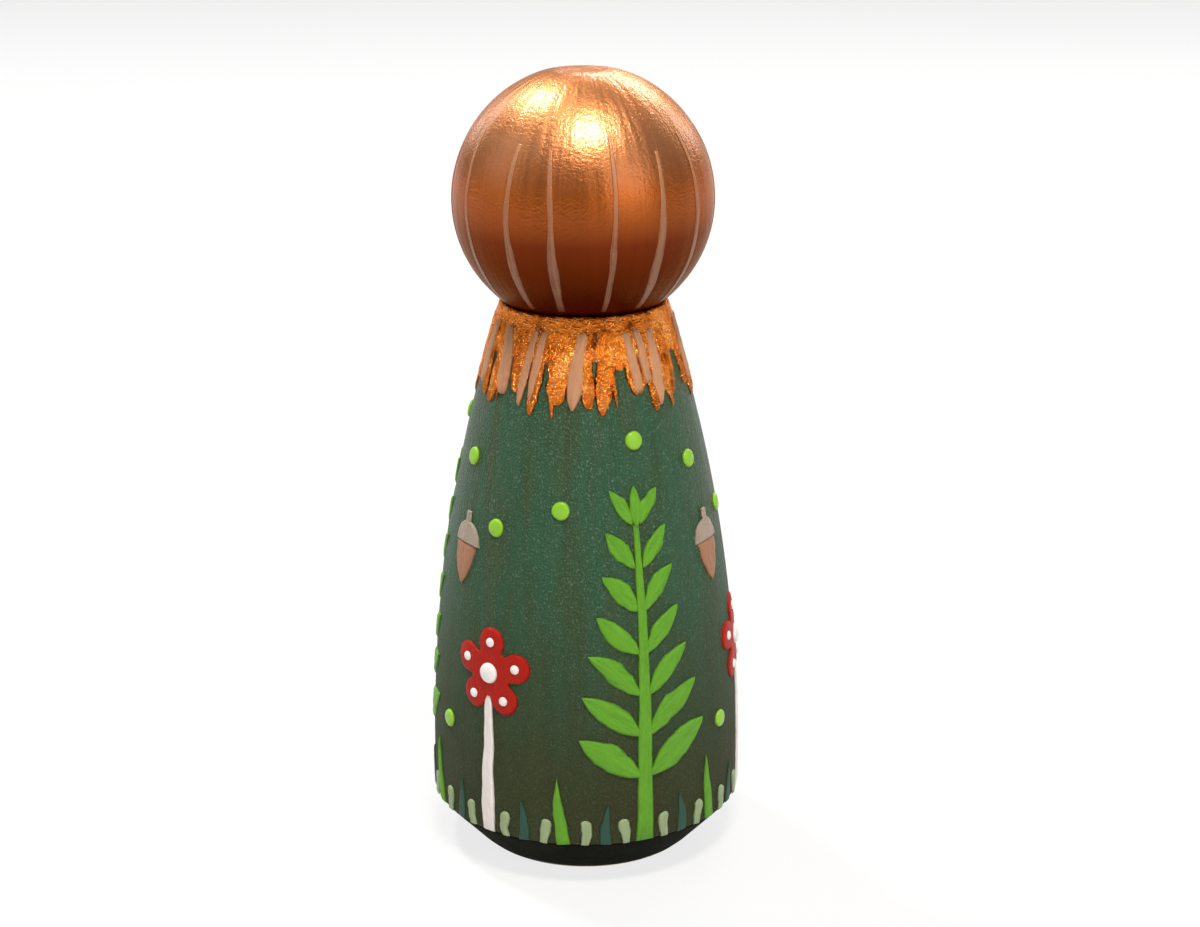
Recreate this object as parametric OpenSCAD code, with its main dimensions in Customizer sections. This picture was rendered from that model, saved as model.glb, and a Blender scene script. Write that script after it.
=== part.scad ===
// Painted wooden peg doll. A turned body and a ball head are joined by a glued dowel.
// The coats of paint are thin shells over the wood, and each raised stroke of paint is a thin
// solid that lies on its coat. The doll stands on +Z, its face looks along +Y, and the
// origin is the centre of the foot.

/* [Body] */
// Widest diameter of the turned body, at the hem
body_d = 35.3; // [31:0.1:40]
// Height of the body, from the foot to the neck seam
body_h = 63.5; // [58:0.5:70]
// Diameter of the flat top that carries the head
neck_d = 18; // [16.5:0.1:21]
// How far the side bows out from a straight cone
side_bulge = 2.45; // [1.5:0.05:3.5]
// Diameter of the flat foot
foot_d = 25.3; // [20:0.1:29]
// Height of the bevel between the foot and the hem
foot_h = 5.4; // [4:0.1:7]

/* [Head] */
// Diameter of the turned ball
head_d = 28.5; // [26:0.1:32]
// Diameter of the flat that sits on the body
head_seat_d = 17.2; // [15:0.1:18.5]
// Diameter of the flat that turning leaves on the crown
crown_flat_d = 6.6; // [3:0.1:9]

/* [Neck dowel] */
// Diameter of the dowel
dowel_d = 8; // [6:0.5:10]
// Length of the dowel
dowel_l = 25; // [20:1:30]
// Length of the dowel that is in the head
dowel_in_head = 10; // [7:0.5:13]
// Bevel on each end of the dowel
dowel_bevel = 0.8; // [0.4:0.1:1.2]
// Number of glue flutes along the dowel
flute_count = 16; // [8:1:20]
// Diameter of one glue flute
flute_d = 0.7; // [0.4:0.1:0.9]
// Gap for glue between the dowel and its holes, on the radius
glue_gap = 0.05; // [0.02:0.01:0.1]
// Room for glue beyond each end of the dowel
end_gap = 1; // [0.5:0.1:2]

/* [Coats of paint] */
// Thickness of the coat over the wood
coat_t = 0.15; // [0.1:0.01:0.25]
// Bare wood left between the coat and the foot's edge
foot_bare_h = 0.4; // [0.2:0.1:1]
// Width of the face left open in the hair
face_d = 17.4; // [14:0.1:20]
// Height of the face's centre below the ball's centre
face_drop = 1.6; // [0:0.1:3]
// Hair left between the chin and the neck seam
chin_gap = 1.06; // [0.5:0.02:2]

/* [Hair] */
// Number of fine strands around the head, the face's gap counted
strand_count = 12; // [9:1:16]
// Width of a strand
strand_w = 0.9; // [0.6:0.1:1.3]
// Thickness of a strand
strand_t = 0.12; // [0.08:0.01:0.2]
// Number of brush strokes in the fringe on the shoulders
fringe_count = 26; // [22:1:30]
// Width of a fringe stroke
fringe_w = 2.2; // [1.6:0.1:2.4]
// Height of the solid band of hair below the neck seam
collar_h = 5.6; // [4.5:0.1:7]
// Length that the longest fringe strokes hang below the neck seam
fringe_h = 10.6; // [9:0.1:12.5]
// Thickness of the fringe
fringe_t = 0.3; // [0.2:0.05:0.4]
// Number of light strokes in the fringe
highlight_count = 14; // [10:1:16]
// Width of a light stroke
highlight_w = 1.7; // [1.2:0.1:2]
// Length of a light stroke
highlight_l = 7.6; // [6:0.1:8.6]
// Thickness of a light stroke
highlight_t = 0.45; // [0.35:0.05:0.6]

/* [Painted border] */
// Number of sprigs around the cloak, with one flower and one acorn for each
sprig_count = 3; // [2:1:3]
// Thickness of a raised stroke on the cloak
stroke_t = 0.25; // [0.15:0.05:0.4]
// Width of a sprig's stem at the hem
stem_w = 2.2; // [1.4:0.1:2.6]
// Number of leaf pairs on a sprig
leaf_pairs = 7; // [5:1:8]
// Length of a sprig's lowest leaves
leaf_l = 9.2; // [7:0.1:10.4]
// Width of a sprig's lowest leaves
leaf_w = 3.1; // [2:0.1:3.6]
// Diameter of a flower
flower_d = 10.4; // [8:0.1:11.5]
// Width of a petal
petal_w = 3.4; // [2.6:0.1:4]
// Diameter of the spot in a flower's centre
centre_spot_d = 2.4; // [1.8:0.1:3]
// Diameter of the spot on a petal
petal_spot_d = 1.1; // [0.8:0.1:1.5]
// Width of a flower's stem at the hem
flower_stem_w = 2; // [1.4:0.1:2.4]
// Diameter of an acorn's nut
acorn_d = 4; // [3:0.1:4.8]
// Diameter of a dot of light
dot_d = 2.1; // [1.5:0.1:2.6]
// Height of a grass blade above the hem
blade_h = 8; // [6:0.1:9]
// Width of a grass blade
blade_w = 1.7; // [1.2:0.1:1.9]
// Height of a dark grass spike above the hem
spike_h = 5; // [3.5:0.1:6.5]
// Width of a dark grass spike
spike_w = 1.3; // [0.8:0.1:1.6]
// Height of a pale grass drop above the hem
drop_h = 3; // [2.4:0.1:3.6]
// Width of a pale grass drop
drop_w = 1.35; // [1:0.05:1.6]

/* [Face] */
// Diameter of an eye
eye_d = 1.9; // [1.4:0.1:2.4]
// Distance between the eyes' centres
eye_gap = 6.8; // [5.5:0.1:8]
// Diameter of a cheek
cheek_d = 3; // [2:0.1:3.6]
// Distance between the cheeks' centres
cheek_gap = 10.2; // [8:0.1:10.8]
// Thickness of a cheek
cheek_t = 0.08; // [0.05:0.01:0.12]
// Width of the smile from end to end
smile_w = 4.2; // [3:0.1:5]
// Thickness of the line that draws the smile
smile_line = 0.5; // [0.3:0.05:0.8]

/* [Hidden] */
$fn = 240;
// Segments around the smallest round marks
small_fn = 72;
// Length by which a cut runs past what it cuts
overrun = 1;
degrees_per_turn = 360;

// The body's side is one arc over the chord from the hem to the neck
hem_r = body_d / 2;
neck_r = neck_d / 2;
side_rise = body_h - foot_h;
side_run = hem_r - neck_r;
side_chord = norm([side_run, side_rise]);
side_r = (side_chord * side_chord / 4 + side_bulge * side_bulge) / (2 * side_bulge);
chord_mid = [(hem_r + neck_r) / 2, (foot_h + body_h) / 2];
side_c = chord_mid - (side_r - side_bulge) * [side_rise, side_run] / side_chord;

// The ball is cut flat at the neck seam and at the crown
head_r = head_d / 2;
head_z = body_h + sqrt(head_r * head_r - head_seat_d * head_seat_d / 4);
crown_z = head_z + sqrt(head_r * head_r - crown_flat_d * crown_flat_d / 4);
face_z = head_z - face_drop;

// The picture fills the field between the hem and the fringe, in sectors around the body
field_h = side_rise - fringe_h;
sector = degrees_per_turn / sprig_count;
sprig_azimuth = 22;
flower_turn_share = -0.5;
acorn_turn_share = 0.33;
sprig_h_share = 0.82;
flower_z_share = 0.4;
acorn_z_share = 0.68;
// Dots of light in one sector, as shares of its turn and of the field's height
dot_place_shares = [[-0.27, 0.8], [0.02, 0.95], [0.29, 0.88], [-0.52, 0.74], [0.31, 0.24]];
dot_h = dot_d / 4;

// Brush marks reach from inside the coat's radius to outside it
mark_start_share = 0.75;

// A sprig's leaves grow shorter and steeper from the hem to the tip
leaf_first_share = 0.2;
leaf_last_share = 0.93;
leaf_tip_size_share = 0.5;
leaf_low_lean = 58;
leaf_tip_lean = 30;
stem_tip_share = 0.35;
leaf_root_share = 0.2;

petal_count = 5;
petal_disc_share = 0.54;
spot_h_share = 0.22;
acorn_nut_l_share = 1.15;
acorn_cap_d_share = 1.25;
acorn_stalk_share = 0.28;

// Grass stands in the gaps between the stems, always in the same order
grass_order = ["drop", "spike", "drop", "blade", "drop", "spike", "drop"];
grass_step = sector / 2 / (len(grass_order) + 1);
grass_lean = 7;
drop_head_share = 0.66;

// Each fringe stroke varies a little in length and lean, as brushed strokes do
vary_turn = 137.5;
fringe_lean = 6;
fringe_top_share = 0.1;
fringe_short_share = 0.84;
highlight_lean = 9;
highlight_top_share = 0.14;

strand_low_share = 0.74;
strand_high_share = 0.62;
strand_start_share = 0.5;
strand_wide_share = 0.3;
strand_thin_share = 0.8;
strand_foot_w_share = 0.7;
strand_tip_w_share = 0.3;
dab_top_share = 0.6;
smile_drop_share = 0.24;
eye_rise_share = 0.06;
cheek_drop_share = 0.17;
eye_h_share = 0.18;

// Radius of the body's side at height z
function side_radius(z) = side_c.x + sqrt(side_r * side_r - pow(z - side_c.y, 2));

// Turn around the body that moves a mark sideways by x at height z
function turn_for(x, z) = x / side_radius(z) * 180 / PI;

// A repeatable value from -1 to 1 for stroke i
function vary(i) = sin(i * vary_turn);

function mix(a, b, t) = a + (b - a) * t;

// Flat shapes

// A leaf between two arcs, l long and w wide, standing on its lower tip
module leaf_shape(l, w) {
    r = (l * l + w * w) / (4 * w);
    translate([0, l / 2])
        intersection() {
            translate([r - w / 2, 0]) circle(r);
            translate([w / 2 - r, 0]) circle(r);
        }
}

// A straight stem that narrows upwards
module stem_shape(h, w, tip_w) {
    polygon([[-w / 2, -overrun], [w / 2, -overrun], [tip_w / 2, h], [-tip_w / 2, h]]);
}

// A long strand, widest near its foot and finest at its tip
module strand_shape(l, w) {
    right = [
        [w * strand_foot_w_share / 2, 0], [w / 2, l * strand_wide_share],
        [w / 4, l * strand_thin_share], [w * strand_tip_w_share / 2, l]
    ];
    left = [for (i = [len(right) - 1:-1:0]) [-right[i].x, right[i].y]];
    polygon(concat(right, left));
}

// A dab of the brush that hangs from its top, widens downwards and ends round
module dab_shape(l, w) {
    top_w = w * dab_top_share;
    translate([0, w / 2 - l]) circle(d = w);
    polygon([[-top_w / 2, 0], [-w / 2, w / 2 - l], [w / 2, w / 2 - l], [top_w / 2, 0]]);
}

// A round-headed drop that narrows to its foot
module drop_shape(h, w) {
    foot_w = w * (1 - drop_head_share) * 2;
    translate([0, h - w / 2]) circle(d = w);
    polygon([[-foot_w / 2, -overrun], [foot_w / 2, -overrun], [w / 2, h - w / 2], [-w / 2, h - w / 2]]);
}

// Profiles and shells

// Half section of the body's side, with the side moved out by grow
module side_profile(grow = 0) {
    intersection() {
        translate(side_c) circle(side_r + grow);
        translate([0, foot_h]) square([body_d, side_rise]);
    }
}

module side_shell(from, to) {
    rotate_extrude()
        difference() {
            side_profile(to);
            side_profile(from);
        }
}

// Half section of the ball, with its surface moved out by grow
module head_profile(grow = 0) {
    intersection() {
        translate([0, head_z]) circle(head_r + grow);
        translate([0, body_h]) square([head_d, crown_z + grow - body_h]);
    }
}

module head_form(grow) {
    rotate_extrude() head_profile(grow);
}

module head_shell(from, to) {
    rotate_extrude()
        difference() {
            head_profile(to);
            head_profile(from);
        }
}

// Extrudes a flat mark outwards through the body's side, at turn azimuth and height z
module on_side(azimuth, z) {
    start = side_radius(z) * mark_start_share;
    rotate(azimuth)
        translate([0, -start, z])
            rotate([90, 0, 0])
                linear_extrude(body_d - start) children();
}

// A flat-based dome of paint, d across and h high, that stands on the XY plane
module dome(d, h) {
    r = (d * d / 4 + h * h) / (2 * h);
    rotate_extrude($fn = small_fn)
        intersection() {
            translate([0, h - r]) circle(r);
            square([d, h]);
        }
}

// A dome on the side, on a layer that lies base above the wood
module side_dot(azimuth, z, d, h, base) {
    slope = asin((z - side_c.y) / side_r);
    out = side_r + base;
    rotate(azimuth)
        translate([0, -side_c.x - out * cos(slope), side_c.y + out * sin(slope)])
            rotate([90 - slope, 0, 0]) dome(d, h);
}

// Extrudes a flat mark through the front of the head, about the face's centre
module on_face() {
    translate([0, 0, face_z])
        rotate([90, 0, 180])
            linear_extrude(head_d) children();
}

// The face's outline, an oval whose chin stays clear of the neck seam
module face_shape() {
    chin_l = face_z - body_h - chin_gap;
    scale([1, 2 * chin_l / face_d]) circle(d = face_d);
}

// Wood

module dowel_hole(from, to) {
    translate([0, 0, from]) cylinder(h = to - from, d = dowel_d + 2 * glue_gap);
}

module turned_body() {
    hole_bottom = body_h - (dowel_l - dowel_in_head) - end_gap;
    color("#d9b98a")
        difference() {
            rotate_extrude() {
                side_profile();
                polygon([[0, 0], [foot_d / 2, 0], [hem_r, foot_h], [0, foot_h]]);
            }
            dowel_hole(hole_bottom, body_h + overrun);
        }
}

module ball_head() {
    color("#d9b98a")
        difference() {
            head_form(0);
            dowel_hole(body_h - overrun, body_h + dowel_in_head + end_gap);
        }
}

module neck_dowel() {
    r = dowel_d / 2;
    bottom = body_h - (dowel_l - dowel_in_head);
    color("#c9a874")
        translate([0, 0, bottom])
            difference() {
                rotate_extrude()
                    polygon([
                        [0, 0], [r - dowel_bevel, 0], [r, dowel_bevel],
                        [r, dowel_l - dowel_bevel], [r - dowel_bevel, dowel_l], [0, dowel_l]
                    ]);
                for (i = [0:flute_count - 1])
                    rotate(i * degrees_per_turn / flute_count)
                        translate([r, 0, -overrun]) cylinder(h = dowel_l + 2 * overrun, d = flute_d);
            }
}

// Coats of paint

module cloak_coat() {
    color("#35543c") side_shell(0, coat_t);
}

module hem_coat() {
    foot_r = foot_d / 2 + (hem_r - foot_d / 2) * foot_bare_h / foot_h;
    color("#191c10")
        rotate_extrude()
            polygon([
                [foot_r, foot_bare_h], [foot_r + coat_t, foot_bare_h],
                [hem_r + coat_t, foot_h], [hem_r, foot_h]
            ]);
}

module hair_coat() {
    color("#a0541f")
        difference() {
            head_shell(0, coat_t);
            on_face() face_shape();
        }
}

module face_coat() {
    color("#e6b993")
        intersection() {
            head_shell(0, coat_t);
            on_face() face_shape();
        }
}

// Hair

module hair_strands() {
    low = head_r * strand_low_share;
    l = low + head_r * strand_high_share;
    face_turn = 2 * asin(face_d / head_d);
    step = (degrees_per_turn - face_turn) / strand_count;
    color("#a87650")
        intersection() {
            head_shell(coat_t, coat_t + strand_t);
            for (i = [0:strand_count - 1])
                rotate((i - (strand_count - 1) / 2) * step)
                    translate([0, -head_r * strand_start_share, head_z - low])
                        rotate([90, 0, 0]) linear_extrude(head_r) strand_shape(l, strand_w);
        }
}

module highlight_marks() {
    top = body_h - highlight_top_share * fringe_h;
    for (i = [0:highlight_count - 1]) {
        azimuth = (i + vary(i) / 4) * degrees_per_turn / highlight_count;
        l = highlight_l * (1 + vary(i + 1) / 8);
        on_side(azimuth, top)
            rotate(vary(i + 2) * highlight_lean) dab_shape(l, highlight_w);
    }
}

module fringe_marks() {
    top = body_h - fringe_top_share * fringe_h;
    for (i = [0:fringe_count - 1]) {
        long_l = fringe_h * (1 - fringe_top_share);
        l = long_l * mix(fringe_short_share, 1, (1 + vary(i)) / 2);
        on_side(i * degrees_per_turn / fringe_count, top)
            rotate(vary(i + 1) * fringe_lean) dab_shape(l, fringe_w);
    }
}

module hair_fringe() {
    color("#b0652a")
        difference() {
            intersection() {
                side_shell(coat_t, coat_t + fringe_t);
                union() {
                    fringe_marks();
                    translate([0, 0, body_h - collar_h]) cylinder(h = collar_h, d = body_d);
                }
            }
            highlight_marks();
        }
}

module fringe_highlights() {
    color("#c98f66")
        intersection() {
            side_shell(coat_t, coat_t + highlight_t);
            highlight_marks();
        }
}

// Painted border

// Puts a mark in every sector, at a share of the sector's turn from the sprig
module each_sector(turn_share = 0) {
    for (i = [0:sprig_count - 1])
        rotate(sprig_azimuth + (i + turn_share) * sector) children();
}

module raised_marks() {
    intersection() {
        side_shell(coat_t, coat_t + stroke_t);
        union() children();
    }
}

sprig_h = field_h * sprig_h_share;
sprig_stem_h = sprig_h * leaf_last_share;

module sprig_stem_marks() {
    each_sector() on_side(0, foot_h) stem_shape(sprig_stem_h, stem_w, stem_w * stem_tip_share);
}

module sprig_leaf_marks() {
    each_sector() {
        for (i = [0:leaf_pairs - 1], side = [-1, 1]) {
            t = i / (leaf_pairs - 1);
            size = mix(1, leaf_tip_size_share, t);
            z = foot_h + sprig_h * mix(leaf_first_share, leaf_last_share, t);
            root = side * stem_w * leaf_root_share;
            lean = -side * mix(leaf_low_lean, leaf_tip_lean, t);
            reach = -sin(lean) * leaf_l * size / 2;
            on_side(turn_for(root + reach, z), z)
                translate([-reach, 0]) rotate(lean) leaf_shape(leaf_l * size, leaf_w * size);
        }
        on_side(0, foot_h + sprig_stem_h - stem_w * stem_tip_share / 2)
            leaf_shape(leaf_l * leaf_tip_size_share, leaf_w * leaf_tip_size_share);
    }
}

module sprig_stems() {
    color("#5f9a2a") raised_marks() sprig_stem_marks();
}

module sprig_leaves() {
    color("#66a42c")
        difference() {
            raised_marks() sprig_leaf_marks();
            sprig_stem_marks();
        }
}

flower_z = foot_h + field_h * flower_z_share;

module petal_marks() {
    each_sector(flower_turn_share)
        on_side(0, flower_z) {
            circle(d = flower_d * petal_disc_share);
            for (i = [0:petal_count - 1])
                rotate(i * degrees_per_turn / petal_count)
                    translate([0, (flower_d - petal_w) / 2]) circle(d = petal_w);
        }
}

module flower_petals() {
    color("#a52817") raised_marks() petal_marks();
}

module flower_spots() {
    base = coat_t + stroke_t;
    out = (flower_d - petal_w) / 2;
    color("#e4dedb")
        each_sector(flower_turn_share) {
            side_dot(0, flower_z, centre_spot_d, centre_spot_d * spot_h_share, base);
            for (i = [0:petal_count - 1]) {
                angle = i * degrees_per_turn / petal_count;
                z = flower_z + out * cos(angle);
                turn = turn_for(-out * sin(angle), z);
                side_dot(turn, z, petal_spot_d, petal_spot_d * spot_h_share, base);
            }
        }
}

module flower_stems() {
    color("#d9d2cd")
        difference() {
            raised_marks()
                each_sector(flower_turn_share)
                    on_side(0, foot_h)
                        stem_shape(flower_z - foot_h, flower_stem_w, flower_stem_w * stem_tip_share);
            petal_marks();
        }
}

acorn_z = foot_h + field_h * acorn_z_share;

module acorn_cap_marks() {
    cap_r = acorn_d * acorn_cap_d_share / 2;
    stalk_w = acorn_d * acorn_stalk_share;
    each_sector(acorn_turn_share)
        on_side(0, acorn_z) {
            intersection() {
                circle(cap_r);
                translate([-cap_r, 0]) square([2 * cap_r, cap_r]);
            }
            translate([-stalk_w / 2, 0]) square([stalk_w, cap_r + stalk_w]);
        }
}

module acorn_caps() {
    color("#a3927f") raised_marks() acorn_cap_marks();
}

module acorn_nuts() {
    nut_l = acorn_d * acorn_nut_l_share;
    color("#a9714f")
        raised_marks()
            each_sector(acorn_turn_share)
                on_side(0, acorn_z)
                    intersection() {
                        translate([0, -nut_l]) leaf_shape(2 * nut_l, acorn_d);
                        translate([-acorn_d, -nut_l]) square([2 * acorn_d, nut_l]);
                    }
}

module light_dots() {
    color("#93c927")
        each_sector()
            for (place = dot_place_shares)
                side_dot(place.x * sector, foot_h + place.y * field_h, dot_d, dot_h, coat_t);
}

// Puts the marks of one kind of grass in each gap between two stems
module each_grass(kind) {
    for (half = [0, flower_turn_share], i = [0:len(grass_order) - 1])
        if (grass_order[i] == kind)
            each_sector(half)
                on_side((i + 1) * grass_step, foot_h) rotate(vary(i) * grass_lean) children();
}

module grass_blades() {
    color("#5d9a2a")
        raised_marks()
            each_grass("blade") translate([0, -blade_h]) leaf_shape(2 * blade_h, blade_w);
}

module grass_spikes() {
    color("#15493a")
        raised_marks()
            each_grass("spike") translate([0, -spike_h]) leaf_shape(2 * spike_h, spike_w);
}

module grass_drops() {
    color("#93a577") raised_marks() each_grass("drop") drop_shape(drop_h, drop_w);
}

// Face

module eyes() {
    turn = asin(eye_gap / head_d);
    tip = asin((face_drop - face_d * eye_rise_share) / head_r);
    color("#2a1a12")
        for (side = [-1, 1])
            translate([0, 0, head_z])
                rotate([-90 - tip, 0, side * turn])
                    translate([0, 0, head_r + coat_t]) dome(eye_d, eye_d * eye_h_share);
}

module cheeks() {
    color("#d98a72")
        intersection() {
            head_shell(coat_t, coat_t + cheek_t);
            for (side = [-1, 1])
                on_face() translate([side * cheek_gap / 2, -face_d * cheek_drop_share]) circle(d = cheek_d);
        }
}

module smile() {
    r = smile_w / sqrt(2);
    color("#8c3a2a")
        intersection() {
            head_shell(coat_t, coat_t + strand_t);
            on_face()
                translate([0, r - face_d * smile_drop_share])
                    intersection() {
                        difference() {
                            circle(r);
                            circle(r - smile_line);
                        }
                        rotate(-135) square(r + overrun);
                    }
        }
}

turned_body();
ball_head();
neck_dowel();
cloak_coat();
hem_coat();
hair_coat();
face_coat();
hair_strands();
hair_fringe();
fringe_highlights();
sprig_stems();
sprig_leaves();
flower_stems();
flower_petals();
flower_spots();
acorn_nuts();
acorn_caps();
light_dots();
grass_blades();
grass_spikes();
grass_drops();
eyes();
cheeks();
smile();
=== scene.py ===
"""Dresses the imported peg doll: brushed coats, raised strokes of paint, studio light and camera.

Shapes are worked out in millimetres, in the frame of the CAD model, and become metres in the meshes.
"""

import math

import bpy
import numpy as np
from mathutils import Matrix, Vector


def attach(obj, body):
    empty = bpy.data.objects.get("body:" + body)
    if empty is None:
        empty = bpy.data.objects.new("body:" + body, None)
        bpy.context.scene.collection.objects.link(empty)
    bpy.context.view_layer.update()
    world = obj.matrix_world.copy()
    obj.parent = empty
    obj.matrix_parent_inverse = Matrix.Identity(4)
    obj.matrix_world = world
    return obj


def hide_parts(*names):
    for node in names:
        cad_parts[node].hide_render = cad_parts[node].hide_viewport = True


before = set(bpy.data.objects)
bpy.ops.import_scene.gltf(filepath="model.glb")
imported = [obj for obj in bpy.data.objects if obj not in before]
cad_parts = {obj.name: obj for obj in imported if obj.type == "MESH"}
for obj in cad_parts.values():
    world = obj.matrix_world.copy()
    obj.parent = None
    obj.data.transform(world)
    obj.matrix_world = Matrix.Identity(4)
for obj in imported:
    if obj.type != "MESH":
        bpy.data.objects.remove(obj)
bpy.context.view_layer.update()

MM = 0.001
TURN = 2 * math.pi
GOLDEN_ANGLE = 137.5  # degrees, so that strokes in a row are never alike

# Sizes of the CAD model, in millimetres
BODY_D, BODY_H, NECK_D, SIDE_BULGE = 35.3, 63.5, 18.0, 2.45
FOOT_D, FOOT_H, FOOT_BARE_H = 25.3, 5.4, 0.4
HEAD_D, HEAD_SEAT_D, CROWN_FLAT_D = 28.5, 17.2, 6.6
COAT_T, STROKE_T = 0.15, 0.25
FACE_D, FACE_DROP = 17.4, 1.6
STRAND_COUNT, STRAND_W, STRAND_T = 12, 0.9, 0.12
FRINGE_COUNT, FRINGE_W, FRINGE_T = 26, 2.2, 0.3
COLLAR_H, FRINGE_H = 5.6, 10.6
HIGHLIGHT_COUNT, HIGHLIGHT_W, HIGHLIGHT_L, HIGHLIGHT_T = 14, 1.7, 7.6, 0.45
SPRIG_COUNT, STEM_W, LEAF_PAIRS, LEAF_L, LEAF_W = 3, 2.2, 7, 9.2, 3.1
FLOWER_D, PETAL_W, PETAL_COUNT, FLOWER_STEM_W = 10.4, 3.4, 5, 2.0
CENTRE_SPOT_D, PETAL_SPOT_D = 2.4, 1.1
ACORN_D, DOT_D = 4.0, 2.1
BLADE_H, BLADE_W, SPIKE_H, SPIKE_W, DROP_H, DROP_W = 8.0, 1.7, 5.0, 1.3, 3.0, 1.35
EYE_D, EYE_GAP, CHEEK_D, CHEEK_GAP, SMILE_W, SMILE_LINE = 1.9, 6.8, 3.0, 10.2, 4.2, 0.5

# Shares of those sizes, as in the CAD model
FRINGE_TOP, HIGHLIGHT_TOP = 0.1, 0.14  # of the fringe's height, down from the neck
STRAND_LOW, STRAND_HIGH = 0.74, 0.62  # of the head's radius, below and above its centre
EYE_RISE, CHEEK_DROP, SMILE_DROP = 0.06, 0.17, 0.24  # of the face's width, from its centre
PETAL_DISC = 0.27  # of the flower's width, the radius of the disc under its petals
ACORN_NUT, ACORN_CAP, ACORN_STALK = 1.15, 1.25, 0.28  # of the acorn's width
LEAF_ROOT = 0.2  # of the stem's width, from its middle
FLOWER_STEM_TIP, STALK_TIP = 0.5, 0.8  # of the stem's and the stalk's width
SPIKE_THIN = 0.6  # of a stroke's thickness
LEAF_LEAN_LOW, LEAF_LEAN_HIGH = 58, 30  # degrees, for the lowest and the highest pair

# Heights of the dots of paint, in millimetres
EYE_T, CHEEK_T, DOT_T, CENTRE_SPOT_T, PETAL_SPOT_T = 0.3, 0.06, 0.38, 0.5, 0.24

# The body's side is one arc over the chord from the hem to the neck
HEM_R, NECK_R = BODY_D / 2, NECK_D / 2
SIDE_RISE = BODY_H - FOOT_H
SIDE_CHORD = math.hypot(HEM_R - NECK_R, SIDE_RISE)
SIDE_R = (SIDE_CHORD**2 / 4 + SIDE_BULGE**2) / (2 * SIDE_BULGE)
SIDE_CX = (HEM_R + NECK_R) / 2 - (SIDE_R - SIDE_BULGE) * SIDE_RISE / SIDE_CHORD
SIDE_CZ = (FOOT_H + BODY_H) / 2 - (SIDE_R - SIDE_BULGE) * (HEM_R - NECK_R) / SIDE_CHORD

# The ball is cut flat at the neck seam and at the crown
HEAD_R = HEAD_D / 2
HEAD_Z = BODY_H + math.sqrt(HEAD_R**2 - HEAD_SEAT_D**2 / 4)
CROWN_Z = HEAD_Z + math.sqrt(HEAD_R**2 - CROWN_FLAT_D**2 / 4)
FACE_Z = HEAD_Z - FACE_DROP

# The border's layout, as in the CAD model
FIELD_H = SIDE_RISE - FRINGE_H
SECTOR = 360 / SPRIG_COUNT
SPRIG_AZIMUTH, FLOWER_TURN, ACORN_TURN = 22, -0.5 * SECTOR, 0.33 * SECTOR
SPRIG_H = 0.82 * FIELD_H
LEAF_FIRST, LEAF_LAST, LEAF_TIP_SIZE = 0.2, 0.93, 0.5
SPRIG_STEM_H = SPRIG_H * LEAF_LAST
STEM_TIP = 0.35
FLOWER_Z = FOOT_H + 0.4 * FIELD_H
ACORN_Z = FOOT_H + 0.68 * FIELD_H
DOT_PLACES = [(-0.27, 0.8), (0.02, 0.95), (0.29, 0.88), (-0.52, 0.74), (0.31, 0.24)]
GRASS_ORDER = ["drop", "spike", "drop", "blade", "drop", "spike", "drop"]

# How paint lies on paint, in millimetres
COAT_MEAN = COAT_T - 0.03  # a coat's level between its brush marks
COAT_DIP = 0.09  # how far the cloak and the band draw in where they meet
CLOAK_FADE, HEM_FADE = 0.9, 0.7  # over these heights
CLOAK_GAP, HEM_GAP, FACE_GAP = 0.012, 0.008, 0.02  # between the wood and the underside of a coat
FACE_LAP = 0.25  # how far the face's rim lies on the hair
CROWN_SOFT = 0.12  # rounds the hair's edge at the crown
HAIR_LIP, COLLAR_LIP = 0.6, 0.2  # how far the paint turns in at the neck seam
SEAM_GAP = 0.01  # between the neck seam and the paint that closes on it
SINK = 0.03  # how far a stroke's rim dips into the coat below it
DOT_SINK = 0.02  # the same for a dot
OVERLAP = 0.3  # how far a stem runs under the mark it carries

CLOAK_GRID, HEM_GRID, HAIR_GRID, COLLAR_GRID = (420, 150), (360, 22), (400, 170), (420, 34)
CLOAK_INNER_ROWS = 24
LAST = 0.999  # a share past this is on the rim
STROKE_END = 0.07  # share of a stroke's length over which it thins to its end
PATTERN_STEP = 3.7  # moves the pattern on from one stroke to the next


def vary(i):
    """A repeatable value from -1 to 1 for stroke i."""
    return math.sin(math.radians(i * GOLDEN_ANGLE))


def mix(a, b, t):
    return a + (b - a) * t


def ease(t):
    return t * t * (3 - 2 * t)


def turns(count):
    """Angles around the doll, as a column."""
    return np.linspace(0, TURN, count, endpoint=False)[:, None]


def side_radius(z):
    return SIDE_CX + np.sqrt(SIDE_R**2 - (z - SIDE_CZ) ** 2)


def turn_for(x, z):
    """Degrees around the body that move a mark sideways by x at height z."""
    return math.degrees(x / side_radius(z))


def lattice_noise(u, v, cells_u, cells_v, seed):
    """Smooth repeatable noise from -1 to 1. It wraps along u and not along v, both from 0 to 1."""
    grid = np.random.default_rng(seed).uniform(-1, 1, (cells_u, cells_v + 1))
    at_u, at_v = (np.asarray(u) % 1) * cells_u, np.clip(v, 0, 1) * cells_v
    low_u = np.floor(at_u).astype(int) % cells_u
    low_v = np.minimum(np.floor(at_v).astype(int), cells_v - 1)
    part_u, part_v = ease(at_u - np.floor(at_u)), ease(at_v - low_v)
    next_u = (low_u + 1) % cells_u
    low = mix(grid[low_u, low_v], grid[next_u, low_v], part_u)
    high = mix(grid[low_u, low_v + 1], grid[next_u, low_v + 1], part_u)
    return mix(low, high, part_v)


# Places: on_side, on_head and on_face each return a place, which turns a flat mark's x, y and lift
# above the coat into points on the doll


def ring(turn, radius, height):
    """Points about the axis, with turn in radians from the back."""
    return np.stack([radius * np.sin(turn), -radius * np.cos(turn), height + 0 * turn], -1)


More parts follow.
